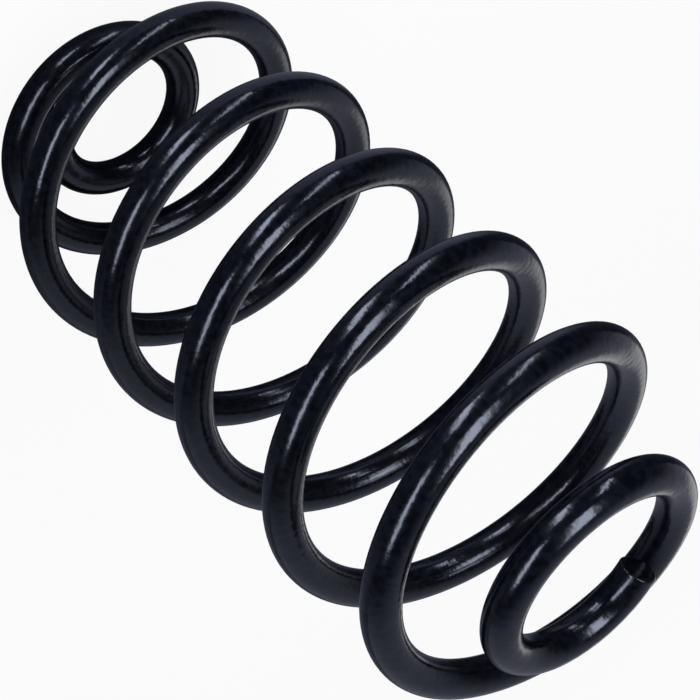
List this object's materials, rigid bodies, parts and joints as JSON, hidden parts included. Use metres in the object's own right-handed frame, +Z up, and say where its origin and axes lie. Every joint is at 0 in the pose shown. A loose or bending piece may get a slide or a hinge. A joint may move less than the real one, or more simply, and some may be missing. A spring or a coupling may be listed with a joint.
{
  "type": "suspension coil spring",
  "caption": "Right-hand wound coil spring of round steel wire, with a cylindrical body and both ends drawn in to small flat turns, in gloss black enamel.",
  "frame": {"origin": "on the coil's axis, at the underside of the lower end turn", "axes": "+Z up the coil's axis, towards the upper end turn; +X through the wire's lower cut end"},
  "size_m": [0.123, 0.123, 0.2634],
  "materials": {
    "black_enamel": "gloss black baked enamel"
  },
  "bodies": {
    "root": {"coil_spring": "black_enamel"}
  },
  "joints": []
}
